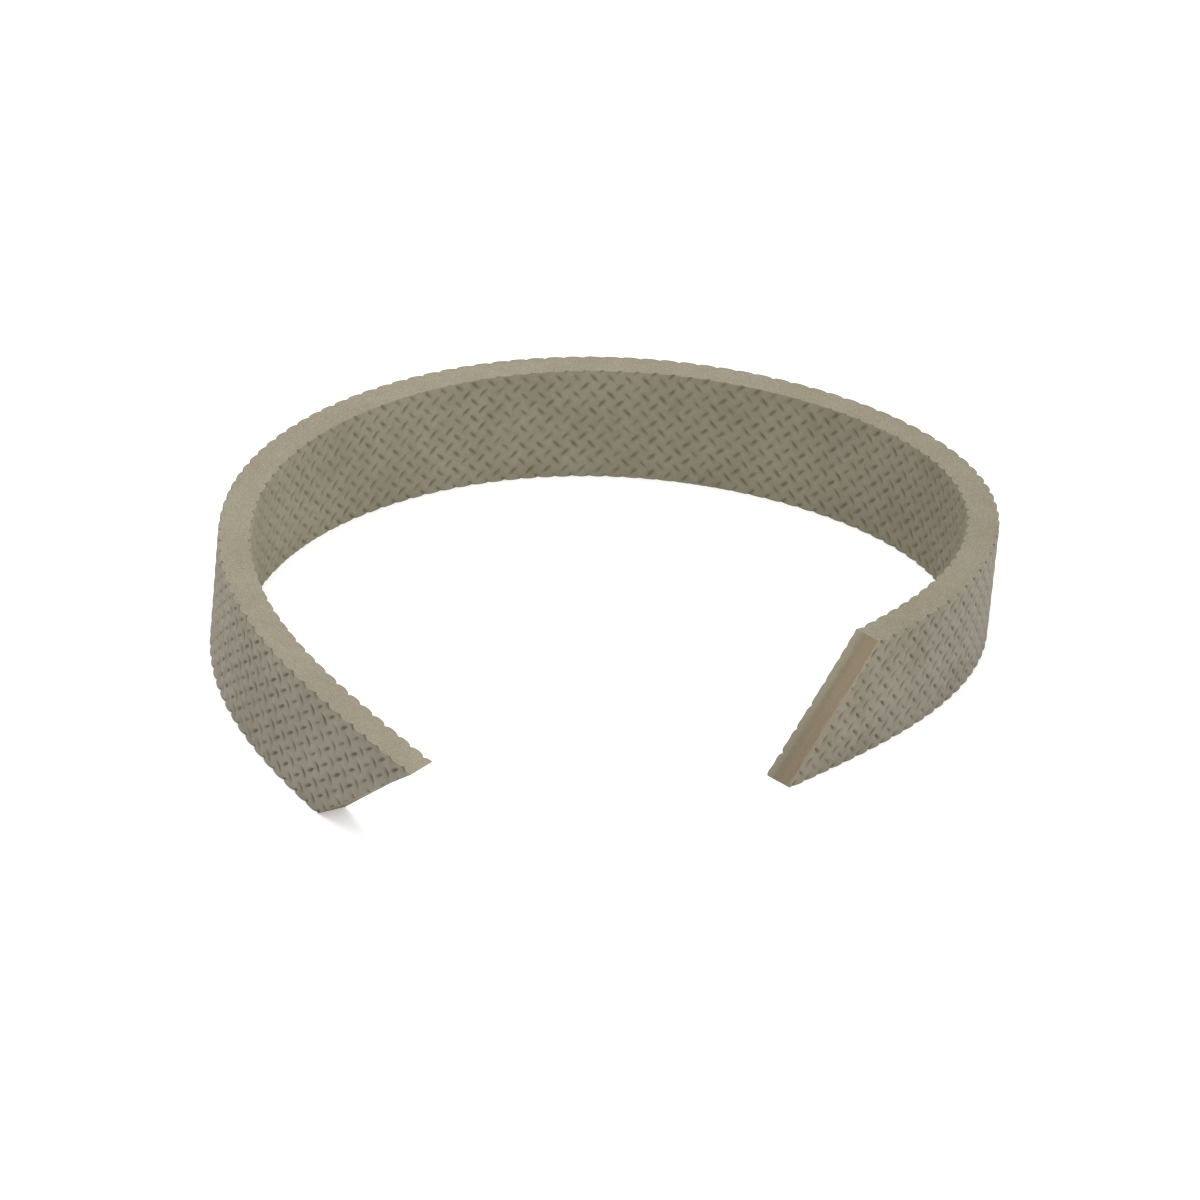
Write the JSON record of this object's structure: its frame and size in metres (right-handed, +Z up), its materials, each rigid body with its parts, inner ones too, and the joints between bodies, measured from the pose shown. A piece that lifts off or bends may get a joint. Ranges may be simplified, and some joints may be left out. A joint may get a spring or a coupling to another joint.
{
  "type": "rubber track strip",
  "caption": "Thick embossed rubber strip standing on its edge, curled into an open C, with bias-cut ends for a splice.",
  "frame": {"origin": "centre of the footprint, on the surface that the strip's lower edge rests on", "axes": "+Z up the strip's width, +Y towards the back of the curl, the gap between the two ends towards -Y"},
  "size_m": [0.2396, 0.2768, 0.038],
  "materials": {
    "outer_rubber": "matte grey-taupe moulded rubber with a crossed wire-cloth impression",
    "core_rubber": "matte pinkish-brown rubber, trimmed with a blade",
    "inner_rubber": "matte olive-grey moulded rubber with a crossed wire-cloth impression"
  },
  "bodies": {
    "root": {"outer_grip_ply": "outer_rubber", "brown_core_ply": "core_rubber", "inner_grip_ply": "inner_rubber"}
  },
  "joints": []
}
